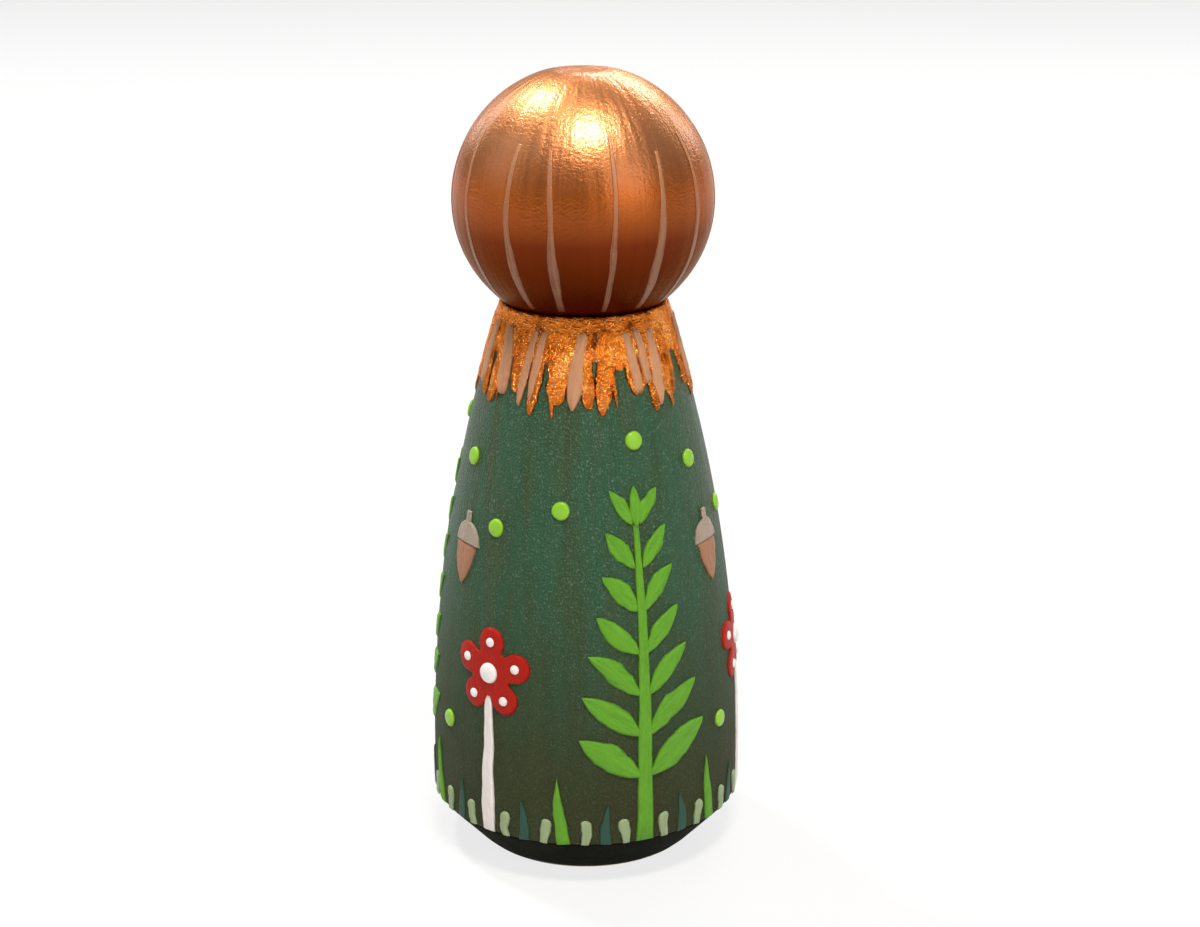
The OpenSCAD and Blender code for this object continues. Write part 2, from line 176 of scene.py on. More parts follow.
def ball_point(unit, radius):
    """Points in the directions unit from the middle of the head."""
    return unit * np.asarray(radius)[..., None] + [0, 0, HEAD_Z]


def side_point(turn, z, lift):
    """Points on the body's side, with turn in radians from the back and lift above the wood."""
    slope = np.arcsin((z - SIDE_CZ) / SIDE_R)
    out = SIDE_CX + (SIDE_R + lift) * np.cos(slope)
    up = SIDE_CZ + (SIDE_R + lift) * np.sin(slope)
    return ring(turn, out, up)


def on_side(azimuth, z, base=COAT_T):
    def place(x, y, lift):
        across = np.clip(x / side_radius(z + y), -1, 1)
        return side_point(math.radians(azimuth) + np.arcsin(across), z + y, base + lift)

    return place


def on_head(azimuth, z, base=COAT_T):
    """For upright marks on the ball, pressed inwards as in the CAD model."""

    def place(x, y, lift):
        rise = z + y - HEAD_Z
        girth = np.sqrt(np.maximum(HEAD_R**2 - rise**2, 0.01))
        turn = math.radians(azimuth) + np.arcsin(np.clip(x / girth, -1, 1))
        return ball_point(ring(turn, girth, rise) / HEAD_R, HEAD_R + base + lift)

    return place


def on_face(x0, z0, base=COAT_T):
    """For marks on the front of the ball, about the point x0, z0 of the face."""

    def place(x, y, lift):
        side, rise = x0 + x, z0 + y - HEAD_Z
        front = np.sqrt(np.maximum(HEAD_R**2 - side**2 - rise**2, 0.01))
        return ball_point(np.stack([side, front, rise], -1) / HEAD_R, HEAD_R + base + lift)

    return place


# Meshes


class Sheets:
    """Gathers grids of points into one mesh, with a paint coordinate and a cover value per point."""

    def __init__(self):
        self.points, self.paint, self.cover, self.faces, self.count = [], [], [], [], 0

    def add(self, points, paint=(0, 0, 0), cover=1.0):
        """Adds points and returns their numbers in the shape of the grid."""
        shape = points.shape[:-1]
        numbers = np.arange(self.count, self.count + int(np.prod(shape))).reshape(shape)
        self.points.append(points.reshape(-1, 3))
        self.paint.append(np.broadcast_to(paint, points.shape).reshape(-1, 3))
        self.cover.append(np.broadcast_to(cover, shape).reshape(-1))
        self.count += numbers.size
        return numbers

    def quads(self, numbers, wrap=False):
        """Joins a grid of numbers; wrap also joins its last row to its first."""
        if wrap:
            numbers = np.concatenate([numbers, numbers[:1]])
        a, b, c, d = numbers[:-1, :-1], numbers[1:, :-1], numbers[1:, 1:], numbers[:-1, 1:]
        self.faces += np.stack([a, b, c, d], -1).reshape(-1, 4).tolist()

    def build(self, name, material, slot, *nodes):
        mesh = bpy.data.meshes.new(name)
        mesh.from_pydata((np.concatenate(self.points) * MM).tolist(), [], self.faces)
        mesh.attributes.new("paint", "FLOAT_VECTOR", "POINT").data.foreach_set(
            "vector", np.concatenate(self.paint).astype(np.float32).ravel()
        )
        mesh.attributes.new("cover", "FLOAT", "POINT").data.foreach_set(
            "value", np.concatenate(self.cover).astype(np.float32)
        )
        mesh.polygons.foreach_set("use_smooth", [True] * len(mesh.polygons))
        mesh.materials.append(material)
        piece = bpy.data.objects.new(name, mesh)
        bpy.context.scene.collection.objects.link(piece)
        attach(piece, "root")
        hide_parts(*nodes)


def wander(u, rng, knots):
    """Smooth noise from -1 to 1 along u, as a hand leaves it."""
    values = rng.uniform(-1, 1, knots + 1)
    low = np.minimum((u * knots).astype(int), knots - 1)
    part = u * knots - low
    return mix(values[low], values[low + 1], ease(part))


def brush_stroke(
    sheets,
    place,
    half_width,
    length,
    thickness,
    lean=0,
    start=(0, 0),
    bend=0,
    ragged=0.14,
    seed=0,
    rows=26,
    columns=11,
    crown=4,
):
    """A raised stroke along y: domed across, ridged by the bristles and thinner at both ends."""
    rng = np.random.default_rng(seed + 1)
    u = (1 - np.cos(np.linspace(0, math.pi, rows)))[:, None] / 2
    t = np.linspace(-1, 1, columns)[None, :]
    left, right = (1 + ragged * (0.8 * wander(u, rng, 4) + 0.5 * wander(u, rng, 11)) for _ in range(2))
    half = half_width(u)
    drift = ragged * half.max() * (0.7 * wander(u, rng, 3) + 0.3 * wander(u, rng, 7)) * np.sin(math.pi * u)
    x = start[0] + t * half * np.where(t < 0, left, right) + bend * length * 4 * u * (1 - u) + drift
    y = start[1] + u * length + 0 * t
    turn = math.radians(lean)
    flat_x = x * math.cos(turn) - y * math.sin(turn)
    flat_y = x * math.sin(turn) + y * math.cos(turn)
    ridges = rng.uniform(-1, 1, columns)[None, :] + 0.6 * rng.uniform(-1, 1, (rows, columns))
    ends = np.sqrt(np.clip(np.minimum(u, 1 - u) / STROKE_END, 0, 1))
    dome = np.sqrt(np.maximum(1 - np.abs(t) ** crown, 0)) * ends
    lift = np.minimum(thickness * dome * (0.84 + 0.16 * ridges), thickness)
    rim = (np.abs(t) > LAST) | (u < 1 - LAST) | (u > LAST)
    lift = np.where(rim, -SINK, lift)
    cover = np.clip(dome * (0.75 + 0.25 * ridges), 0, 1)
    paint = np.stack([x, y, 0 * x + seed * PATTERN_STEP], -1)
    top = sheets.add(place(flat_x, flat_y, lift), paint, cover)
    sheets.quads(top[:, ::-1])
    sheets.quads(top[:, [0, -1]])
    for end, row in ((top[0], 1), (top[-1], -1)):
        sheets.faces.append(end[::row].tolist())


def polar_patch(sheets, place, radius, height, rings=9, sectors=32, seed=0, flat_top=4):
    """A patch around its centre: radius gives the outline by angle, and the top falls off to the rim."""
    angle = turns(sectors)
    out = np.linspace(0, 1, rings + 1)[None, 1:]
    x, y = -radius(angle) * out * np.sin(angle), radius(angle) * out * np.cos(angle)
    dome = np.sqrt(np.maximum(1 - out**flat_top, 0)) + 0 * angle
    swell = 1 + 0.05 * lattice_noise(angle / TURN, out, 7, 3, seed + 5)
    lift = np.where(out > LAST, -SINK, np.minimum(height * dome * swell, height))
    paint = np.stack([x, y, 0 * x + seed * PATTERN_STEP], -1)
    top = sheets.add(place(x, y, lift), paint, np.clip(dome, 0, 1))
    zero = np.zeros((1,))
    centre = sheets.add(place(zero, zero, zero + height), [[0, 0, seed * PATTERN_STEP]])[0]
    sheets.quads(top[:, ::-1], wrap=True)
    first = top[:, 0]
    sheets.faces += [[centre, int(a), int(b)] for a, b in zip(first, np.roll(first, -1))]
    sheets.faces.append(top[::-1, -1].tolist())


def round_patch(sheets, place, d, height, seed=0, wobble=0.03, **options):
    """A dot, slightly out of round as a dotting tool leaves it."""

    def radius(angle):
        return d / 2 * (1 - wobble * (1 + np.sin(2 * angle + seed) * np.cos(angle - seed)) / 2)

    polar_patch(sheets, place, radius, height, seed=seed, **options)


# Outlines: half widths by the share u of a stroke's length


def leaf_outline(length, w):
    r = (length * length + w * w) / (4 * w)
    return lambda u: np.maximum(np.sqrt(r * r - (u * length - length / 2) ** 2) - r + w / 2, 0.01)


def half_leaf_outline(length, w):
    whole = leaf_outline(2 * length, w)
    return lambda u: whole(0.5 + u / 2)


def taper_outline(w, tip_w):
    return lambda u: mix(w, tip_w, u) / 2 + 0 * u


def drop_outline(h, w):
    neck = 1 - w / 2 / h

    def half(u):
        head = np.sqrt(np.maximum((w / 2) ** 2 - ((u - neck) * h) ** 2, 1e-4))
        return np.where(u > neck, head, mix(0.34 * w, w / 2, u / neck))

    return half


def dab_outline(w, point):
    """A dab that hangs from its top. Its foot is blunt where point is 0 and tapers where it is 1."""
    shares = [mix(0.24, 0.08, point), mix(0.42, 0.2, point), mix(0.5, 0.38, point), 0.5, 0.46, 0.32]
    return lambda u: np.interp(u, [0, 0.05, 0.16, 0.4, 0.6, 1], shares) * w


def strand_outline(w):
    return lambda u: np.interp(u, [0, 0.3, 0.8, 1], [0.35 * w, w / 2, w / 4, 0.15 * w])


# Materials

HEIGHT_UNIT = 0.015  # metres of height that count as one unit of direction about the axis
HEAD_SPAN = (63, 89)  # millimetres, from the nape to the crown
COPPER_EDGE = (0.92, 0.70, 0.55, 1)  # tint of metal seen edge on
GREEN_BELOW = (0.030, 0.068, 0.030)  # the cloak where it shows through thin paint
FLOOR_WHITE = 0.78  # share of plain white in the floor where it is seen or mirrored


class Paint:
    """One procedural material, built around its Principled shader."""

    def __init__(self, name, **sockets):
        self.material = bpy.data.materials.new(name)
        self.material.use_nodes = True
        self.tree = self.material.node_tree
        self.shader = self.tree.nodes["Principled BSDF"]
        for socket, value in sockets.items():
            self.shader.inputs[socket.replace("_", " ")].default_value = value
        self.normal = None

    def add(self, kind, inputs=None, **settings):
        node = self.tree.nodes.new("ShaderNode" + kind)
        for key, value in settings.items():
            setattr(node, key, value)
        for key, value in (inputs or {}).items():
            if isinstance(value, bpy.types.NodeSocket):
                self.tree.links.new(value, node.inputs[key])
            else:
                node.inputs[key].default_value = value
        return node

    def place(self):
        return self.add("TexCoord").outputs["Object"]

    def around(self):
        """Coordinates that follow the doll's upright lines: direction about the axis, and height."""
        flat = self.add("VectorMath", {0: self.place(), 1: (1, 1, 0)}, operation="MULTIPLY").outputs[0]
        turn = self.add("VectorMath", {0: flat}, operation="NORMALIZE").outputs[0]
        scale = (0, 0, 1 / HEIGHT_UNIT)
        height = self.add("VectorMath", {0: self.place(), 1: scale}, operation="MULTIPLY").outputs[0]
        return self.add("VectorMath", {0: turn, 1: height}, operation="ADD").outputs[0]

    def stroke(self):
        return self.add("Attribute", attribute_name="paint").outputs["Vector"]

    def cover(self):
        return self.add("Attribute", attribute_name="cover").outputs["Fac"]

    def noise(self, vector, scale, detail=3.0, rough=0.55, distortion=0.0):
        """Noise with a scale per axis."""
        mapped = self.add("Mapping", {"Vector": vector, "Scale": scale}).outputs[0]
        inputs = {"Vector": mapped, "Scale": 1.0, "Detail": detail, "Roughness": rough}
        return self.add("TexNoise", {**inputs, "Distortion": distortion}).outputs["Fac"]

    def rise(self, low_mm, high_mm):
        """From 0 at the lower height to 1 at the upper one."""
        height = self.add("SeparateXYZ", {0: self.place()}).outputs["Z"]
        limits = {"Value": height, "From Min": low_mm * MM, "From Max": high_mm * MM}
        return self.add("MapRange", limits, interpolation_type="SMOOTHSTEP").outputs[0]

    def ramp(self, factor, *stops):
        node = self.add("ValToRGB", {"Fac": factor})
        elements = node.color_ramp.elements
        while len(elements) < len(stops):
            elements.new(0.5)
        for element, (position, colour) in zip(elements, stops):
            element.position = position
            element.color = (*colour, 1) if isinstance(colour, tuple) else (colour, colour, colour, 1)
        return node.outputs["Color"]

    def blend(self, factor, a, b, how="MIX"):
        node = self.add("Mix", data_type="RGBA", blend_type=how)
        for socket, value in ((0, factor), (6, a), (7, b)):
            if isinstance(value, bpy.types.NodeSocket):
                self.tree.links.new(value, node.inputs[socket])
            else:
                node.inputs[socket].default_value = (*value, 1) if isinstance(value, tuple) else value
        return node.outputs[2]

    def math(self, operation, a, b, clamp=False):
        return self.add("Math", {0: a, 1: b}, operation=operation, use_clamp=clamp).outputs[0]

    def scaled(self, factor, low, high):
        return self.add("MapRange", {"Value": factor, "To Min": low, "To Max": high}).outputs[0]

    def colour(self, socket):
        self.tree.links.new(socket, self.shader.inputs["Base Color"])

    def roughness(self, socket):
        self.tree.links.new(socket, self.shader.inputs["Roughness"])

    def varnish(self, socket):
        """A clear layer that follows the bumps made so far."""
        self.tree.links.new(socket, self.shader.inputs["Coat Weight"])
        self.tree.links.new(self.normal, self.shader.inputs["Coat Normal"])

    def bump(self, height, distance_mm, strength=1.0):
        inputs = {"Height": height, "Distance": distance_mm * MM, "Strength": strength}
        if self.normal:
            inputs["Normal"] = self.normal
        self.normal = self.add("Bump", inputs).outputs[0]
        self.tree.links.new(self.normal, self.shader.inputs["Normal"])


def cloak_paint():
    """Satin greens brushed upright in patches, olive towards the hem, with a fine grainy surface and pale
    specks of painted highlight that thin out towards the hem.
    """
    p = Paint("cloak_green", Specular_IOR_Level=0.25)
    around = p.around()
    patches = p.noise(around, (2.6, 2.6, 0.5), 2, 0.6)
    streaks = p.noise(around, (17, 17, 1.0), 4, 0.62)
    grain = p.noise(p.place(), (3900, 3900, 3500), 2, 0.65)
    specks = p.noise(p.place(), (5200, 5200, 4000), 1, 0.5)
    tone = p.ramp(
        patches,
        (0.32, (0.036, 0.046, 0.013)),
        (0.45, (0.024, 0.056, 0.018)),
        (0.56, (0.013, 0.075, 0.034)),
        (0.70, (0.034, 0.051, 0.015)),
    )
    tone = p.blend(p.scaled(streaks, -0.25, 0.75), tone, (0.043, 0.106, 0.046))
    olive = p.scaled(p.rise(4, 40), 1.0, 0.05)
    olive = p.math("MULTIPLY", olive, p.scaled(patches, 0.5, 1.3), True)
    tone = p.blend(olive, tone, (0.032, 0.031, 0.006))
    # Painted highlight: pale specks stand in for glints off the grain, fewer towards the hem
    painted_glints = p.ramp(specks, (0.57, 0.0), (0.77, 0.4))
    painted_glints = p.math("MULTIPLY", painted_glints, p.scaled(p.rise(12, 46), 0.25, 1.0))
    p.colour(p.blend(painted_glints, tone, (0.25, 0.33, 0.25)))
    p.roughness(p.math("ADD", p.scaled(grain, 0.27, 0.45), p.scaled(p.rise(8, 50), 0.38, 0.0)))
    p.bump(streaks, 0.1, 0.6)
    p.bump(grain, 0.34, 0.9)
    return p.material


def hem_painted_shade():
    """Nearly black green, dull, brushed around the foot: dark green paint darkened further as painted shade
    for the bevel that faces down.
    """
    p = Paint("hem_dark", Specular_IOR_Level=0.02)
    streaks = p.noise(p.around(), (5, 5, 9), 3, 0.6)
    grain = p.noise(p.place(), (3600, 3600, 3600), 2, 0.6)
    # Painted shade: the band's green is kept near black
    p.colour(p.ramp(streaks, (0.3, (0.002, 0.0028, 0.0008)), (0.7, (0.008, 0.009, 0.0028))))
    p.roughness(p.scaled(grain, 0.6, 0.8))
    p.bump(grain, 0.14, 0.8)
    return p.material


def copper_with_painted_shade(p):
    """The hair's copper, deep at the nape and golden at the crown: the darkening towards the nape is
    painted shade, and the paler band near the crown is painted highlight.
    """
    return p.ramp(
        p.rise(*HEAD_SPAN),
        (0.0, (0.070, 0.008, 0.0004)),
        (0.28, (0.17, 0.024, 0.0012)),
        (0.58, (0.55, 0.128, 0.013)),
        (0.85, (0.62, 0.235, 0.085)),
        (1.0, (0.62, 0.23, 0.075)),
    )


def hair_paint():
    """Copper metallic paint, brushed from the crown down and wrinkled as it dried."""
    p = Paint("hair_copper", Metallic=1.0, Specular_Tint=COPPER_EDGE, Coat_Roughness=0.12)
    around = p.around()
    streaks = p.noise(around, (15, 15, 0.7), 4, 0.65)
    bands = p.noise(around, (3.2, 3.2, 0.9), 2, 0.5)
    crinkle = p.noise(p.place(), (800, 800, 1500), 4, 0.66, 0.6)
    peel = p.noise(p.place(), (3000, 3000, 3600), 2, 0.55)
    # The copper carries painted shade at the nape and painted highlight near the crown
    tone = copper_with_painted_shade(p)
    bright = p.blend(1.0, tone, (1.5, 1.5, 1.6), "MULTIPLY")
    tone = p.blend(p.scaled(streaks, -0.25, 0.55), tone, bright)
    deep = p.blend(1.0, tone, (0.52, 0.45, 0.4), "MULTIPLY")
    tone = p.blend(p.scaled(bands, -0.1, 0.5), tone, deep)
    p.colour(tone)
    p.roughness(p.scaled(streaks, 0.29, 0.48))
    p.bump(streaks, 0.08, 0.6)
    p.bump(crinkle, 0.08, 0.6)
    p.bump(peel, 0.08, 0.6)
    p.varnish(p.scaled(p.rise(68, 84), 0.03, 0.6))
    return p.material


def strand_paint():
    """Thinned tan paint on the hair, darker towards the nape as painted shade: the copper shows through in
    streaks and at the edges.
    """
    p = Paint("strand_tan", Metallic=0.45, Specular_IOR_Level=0.4)
    streaks = p.noise(p.stroke(), (3.2, 0.35, 1), 3, 0.6)
    crinkle = p.noise(p.place(), (1500, 1500, 2200), 3, 0.6, 0.5)
    # Painted shade: the tan darkens towards the nape and pales towards the crown, as the copper does
    tan = p.ramp(
        p.rise(*HEAD_SPAN),
        (0.0, (0.22, 0.092, 0.045)),
        (0.5, (0.37, 0.165, 0.083)),
        (1.0, (0.56, 0.28, 0.15)),
    )
    thin = p.math("SUBTRACT", p.scaled(streaks, 0.3, 1.25), p.cover(), True)
    p.colour(p.blend(p.math("MULTIPLY", thin, 1.3, True), tan, copper_with_painted_shade(p)))
    p.roughness(p.scaled(crinkle, 0.34, 0.5))
    p.bump(crinkle, 0.12, 0.6)
    return p.material


def fringe_paint():
    """Copper paint dabbed on thickly: wrinkled, with bright flakes and thin places, and darker below as
    painted shade.
    """
    p = Paint("fringe_copper", Metallic=1.0, Specular_Tint=COPPER_EDGE)
    crinkle = p.noise(p.place(), (1100, 1100, 1700), 4, 0.64, 0.9)
    wear = p.noise(p.place(), (480, 480, 300), 4, 0.62)
    flakes = p.noise(p.place(), (3900, 3900, 3900), 1, 0.5)
    tone = p.ramp(
        wear,
        (0.30, (0.20, 0.042, 0.007)),
        (0.38, (0.62, 0.145, 0.013)),
        (0.52, (0.90, 0.24, 0.026)),
        (0.70, (0.97, 0.37, 0.08)),
    )
    # Painted shade: the hanging strokes darken below the collar
    tone = p.blend(p.scaled(p.rise(53, 60), 0.34, 0.0), tone, (0.20, 0.055, 0.018))
    tone = p.blend(p.ramp(flakes, (0.62, 0.0), (0.72, 0.75)), tone, (0.95, 0.66, 0.34))
    p.colour(tone)
    p.roughness(p.scaled(crinkle, 0.14, 0.32))
    p.bump(crinkle, 0.5, 0.9)
    p.bump(flakes, 0.08, 0.6)
    return p.material


def stroke_paint(name, thick, thin, under, ridge=0.16, shine=0.45, gloss=0.4, streak=0.6, see_through=0.25):
    """Acrylic laid on with a brush: bristle streaks, thin edges that show the coat below, fine grain."""
    p = Paint(name, Specular_IOR_Level=gloss)
    along = p.stroke()
    streaks = p.noise(along, (2.8, 0.4, 1), 3, 0.6)
    lumps = p.noise(along, (1.2, 0.8, 1), 2, 0.5)
    grain = p.noise(p.place(), (2300, 2300, 2300), 2, 0.6)
    tone = p.blend(p.scaled(streaks, -0.25, streak + 0.2), thick, thin)
    bare = p.math("SUBTRACT", p.scaled(lumps, 0.25, 1.0), p.cover(), True)
    tone = p.blend(p.math("MULTIPLY", bare, see_through * 2, True), tone, under)
    p.colour(tone)
    p.roughness(p.scaled(grain, shine - 0.08, shine + 0.12))
    p.bump(streaks, ridge, 0.8)
    p.bump(lumps, ridge * 1.5, 0.5)
    p.bump(grain, 0.1, 0.7)
    return p.material


def dot_paint(name, tone, deep, shine=0.3):
    """Thick drops from a dotting tool: smooth, slightly glossy, with a faint swirl."""
    p = Paint(name, Specular_IOR_Level=0.5, Coat_Weight=0.1, Coat_Roughness=0.2)
    swirl = p.noise(p.stroke(), (1.1, 1.1, 1), 2, 0.5, 0.8)
    grain = p.noise(p.place(), (2600, 2600, 2600), 2, 0.6)
    p.colour(p.blend(p.scaled(swirl, -0.1, 0.7), tone, deep))
    p.roughness(p.scaled(grain, shine - 0.05, shine + 0.15))
    p.bump(grain, 0.06, 0.6)
    return p.material


def skin_paint():
    """Warm skin, brushed lightly downwards."""
    p = Paint("face_skin", Specular_IOR_Level=0.4)
    streaks = p.noise(p.place(), (900, 900, 260), 3, 0.6)
    grain = p.noise(p.place(), (2500, 2500, 2500), 2, 0.6)
    p.colour(p.blend(p.scaled(streaks, 0.0, 0.8), (0.72, 0.43, 0.27), (0.82, 0.54, 0.36)))
    p.roughness(p.scaled(grain, 0.42, 0.6))
    p.bump(streaks, 0.12, 0.5)
    p.bump(grain, 0.1, 0.6)
    return p.material


def cheek_paint():
    """A thin blush that fades into the skin at its rim."""
    p = Paint("cheek_rose", Specular_IOR_Level=0.4)
    grain = p.noise(p.place(), (2500, 2500, 2500), 2, 0.6)
    dabs = p.noise(p.stroke(), (1.5, 1.5, 1), 3, 0.6)
    strength = p.math("MULTIPLY", p.cover(), p.scaled(dabs, 0.55, 1.1), True)
    p.colour(p.blend(strength, (0.76, 0.47, 0.30), (0.70, 0.22, 0.14)))
    p.roughness(p.scaled(grain, 0.42, 0.6))
    p.bump(grain, 0.1, 0.6)
    return p.material


def wood_paint(name, pale, dark, across):
    """Close-grained wood: rings about the axis where it is cut across, and fine pores along it."""
    p = Paint(name, Specular_IOR_Level=0.35)
    drift = p.noise(p.place(), (60, 60, 12), 2, 0.5)
    offset = p.add("VectorMath", {0: p.place(), 1: (0.013, 0.021, 0)}, operation="ADD").outputs[0]
    wave = {"Vector": offset, "Scale": across, "Distortion": 2.2, "Detail": 2.0, "Detail Scale": 1.4}
    rings = p.add("TexWave", wave, wave_type="RINGS", rings_direction="Z").outputs["Fac"]
    pores = p.noise(p.place(), (3200, 3200, 160), 3, 0.65)
    tone = p.blend(p.scaled(rings, 0.0, 0.55), pale, dark)
    tone = p.blend(p.ramp(pores, (0.58, 0.0), (0.72, 0.6)), tone, tuple(0.5 * c for c in dark))
    tone = p.blend(p.scaled(drift, 0.0, 0.35), tone, dark)
    p.colour(tone)
    p.roughness(p.scaled(pores, 0.5, 0.7))
    p.bump(pores, 0.04, 0.5)
    return p.material


# Coats


def cloak():
    """The green coat on the body's side, with upright brush marks."""
    sheets = Sheets()
    turn = turns(CLOAK_GRID[0])
    rise = np.linspace(0, 1, CLOAK_GRID[1])[None, :]
    z = FOOT_H + SIDE_RISE * rise + 0 * turn
    share = turn / TURN
    lift = COAT_MEAN + 0.02 * lattice_noise(share, rise, 64, 5, 11)
    lift = lift + 0.01 * lattice_noise(share, rise, 150, 14, 12)
    near_hem = np.clip(1 - (z - FOOT_H) / CLOAK_FADE, 0, 1)
    lift = lift - COAT_DIP * near_hem**2
    outer = sheets.add(side_point(turn, z, lift))
    inner_rise = np.linspace(1, 0, CLOAK_INNER_ROWS)[None, :]
    inner_z = FOOT_H + SIDE_RISE * inner_rise + 0 * turn
    inner = sheets.add(side_point(turn, inner_z, CLOAK_GAP + 0 * inner_z))
    sheets.quads(np.concatenate([outer, inner, outer[:, :1]], 1), wrap=True)
    sheets.build("cloak", cloak_paint(), "cloak_green", "cloak_coat")


def hem():
    """The dark band on the foot's bevel, dark paint made near black as painted shade, with a softened edge
    and an uneven lower limit.
    """
    sheets = Sheets()
    turn = turns(HEM_GRID[0])
    across = np.linspace(0, 1, HEM_GRID[1])[None, :]
    low = 0.4 * FOOT_BARE_H + 0.08 * lattice_noise(turn / TURN, 0 * turn, 40, 1, 21)
    z = mix(low, FOOT_H, across)
    r = FOOT_D / 2 + (HEM_R - FOOT_D / 2) * z / FOOT_H
    near_cloak = np.clip((z - FOOT_H + HEM_FADE) / HEM_FADE, 0, 1)
    lift = COAT_MEAN * np.clip(across * 12, 0.2, 1) - COAT_DIP * near_cloak**2
    lift = lift + 0.012 * lattice_noise(turn / TURN, across, 90, 5, 22)
    outer = sheets.add(ring(turn, r + lift, z))
    inner = sheets.add(ring(turn, r[:, ::-1] + HEM_GAP, z[:, ::-1]))
    sheets.quads(np.concatenate([outer, inner, outer[:, :1]], 1), wrap=True)
    sheets.build("hem", hem_painted_shade(), "hem_dark", "hem_coat")


def hair():
    """The copper coat over the ball. It dips under the face, which lies in it."""
    sheets = Sheets()
    turn = turns(HAIR_GRID[0])
    seat = math.acos((BODY_H - HEAD_Z) / (HEAD_R + COAT_T))
    polar = np.linspace(0.004, seat, HAIR_GRID[1])[None, :]
    share, down = turn / TURN, polar / seat
    brushed = 0.018 * lattice_noise(share, down, 80, 3, 31)
    brushed = brushed + 0.01 * lattice_noise(share, down, 190, 7, 32)
    fade = np.clip(np.sin(polar) * 2.2 - 0.2, 0, 1)
    unit = ring(turn, np.sin(polar), np.cos(polar))
    points = ball_point(unit, HEAD_R + COAT_MEAN + brushed * fade)
    in_face = np.hypot(points[..., 0], points[..., 2] - FACE_Z) < FACE_D / 2 - FACE_LAP
    sunk = in_face & (points[..., 1] > 0)
    points = np.where(sunk[..., None], ball_point(unit, HEAD_R + FACE_GAP), points)
    crown = CROWN_Z + COAT_MEAN
    points[..., 2] = -CROWN_SOFT * np.logaddexp(-points[..., 2] / CROWN_SOFT, -crown / CROWN_SOFT)
    points[..., 2] = np.maximum(points[..., 2], BODY_H + SEAM_GAP)
    outer = sheets.add(points)
    lip = sheets.add(ring(turn, HEAD_SEAT_D / 2 - HAIR_LIP, BODY_H + SEAM_GAP))
    sheets.quads(np.concatenate([outer, lip], 1)[:, ::-1], wrap=True)
    sheets.faces.append(outer[:, 0].tolist())
    sheets.build("hair", hair_paint(), "hair_copper", "hair_coat")


def face():
    """The skin in the opening of the hair, and the features painted on it."""
    sheets = Sheets()
    outline = lambda angle: FACE_D / 2 + 0 * angle
    place = on_face(0, FACE_Z, 0)
    polar_patch(sheets, place, outline, COAT_T, rings=40, sectors=160, seed=41, flat_top=60)
    sheets.build("face", skin_paint(), "face_skin", "face_coat")
    eyes = Sheets()
    eye_z = FACE_Z + EYE_RISE * FACE_D
    for side in (-1, 1):
        place = on_face(side * EYE_GAP / 2, eye_z)
        round_patch(eyes, place, EYE_D, EYE_T, seed=42 + side, wobble=0.02, flat_top=2)
    dark = dot_paint("eye_dark", (0.012, 0.007, 0.005), (0.03, 0.016, 0.01), shine=0.2)
    eyes.build("eye_dots", dark, "eye_dark", "eyes")
    cheeks = Sheets()
    for side in (-1, 1):
        place = on_face(side * CHEEK_GAP / 2, FACE_Z - CHEEK_DROP * FACE_D, COAT_T - DOT_SINK)
        round_patch(cheeks, place, CHEEK_D, CHEEK_T, seed=45 + side, wobble=0.04, flat_top=2)
    cheeks.build("cheek_blush", cheek_paint(), "cheek_rose", "cheeks")
    smile = Sheets()
    drop = SMILE_W * (1 - 1 / math.sqrt(2)) / math.sqrt(2)
    place = on_face(0, FACE_Z - SMILE_DROP * FACE_D + drop)
    outline = lambda u: SMILE_LINE / 2 * np.sqrt(np.clip(np.sin(math.pi * u), 0.02, 1))
    start, bend = (0, -SMILE_W / 2), drop / SMILE_W
    brush_stroke(smile, place, outline, SMILE_W, STRAND_T, lean=-90, start=start, bend=bend, seed=47)
    red = stroke_paint("smile_brown", (0.27, 0.05, 0.03), (0.36, 0.09, 0.06), (0.72, 0.43, 0.27))
    smile.build("smile_line", red, "smile_brown", "smile")


# Hair strokes


def strands():
    """Thin tan strokes down the back of the head."""
    sheets = Sheets()
    low, high = STRAND_LOW * HEAD_R, STRAND_HIGH * HEAD_R
    step = (360 - 2 * math.degrees(math.asin(FACE_D / HEAD_D))) / STRAND_COUNT
    for i in range(STRAND_COUNT):
        azimuth = (i - (STRAND_COUNT - 1) / 2 + 0.07 * vary(i + 2)) * step
        brush_stroke(
            sheets,
            on_head(azimuth, HEAD_Z - low),
            strand_outline(STRAND_W * (1.25 + 0.2 * vary(i + 4))),
            (low + high) * (0.94 + 0.06 * vary(i)),
            STRAND_T * 0.35,
            lean=1.5 * vary(i + 6),
            bend=0.014 * vary(i + 3),
            ragged=0.3,
            seed=60 + i,
            rows=60,
            columns=9,
            crown=2,
        )
    sheets.build("strands", strand_paint(), "strand_tan", "hair_strands")


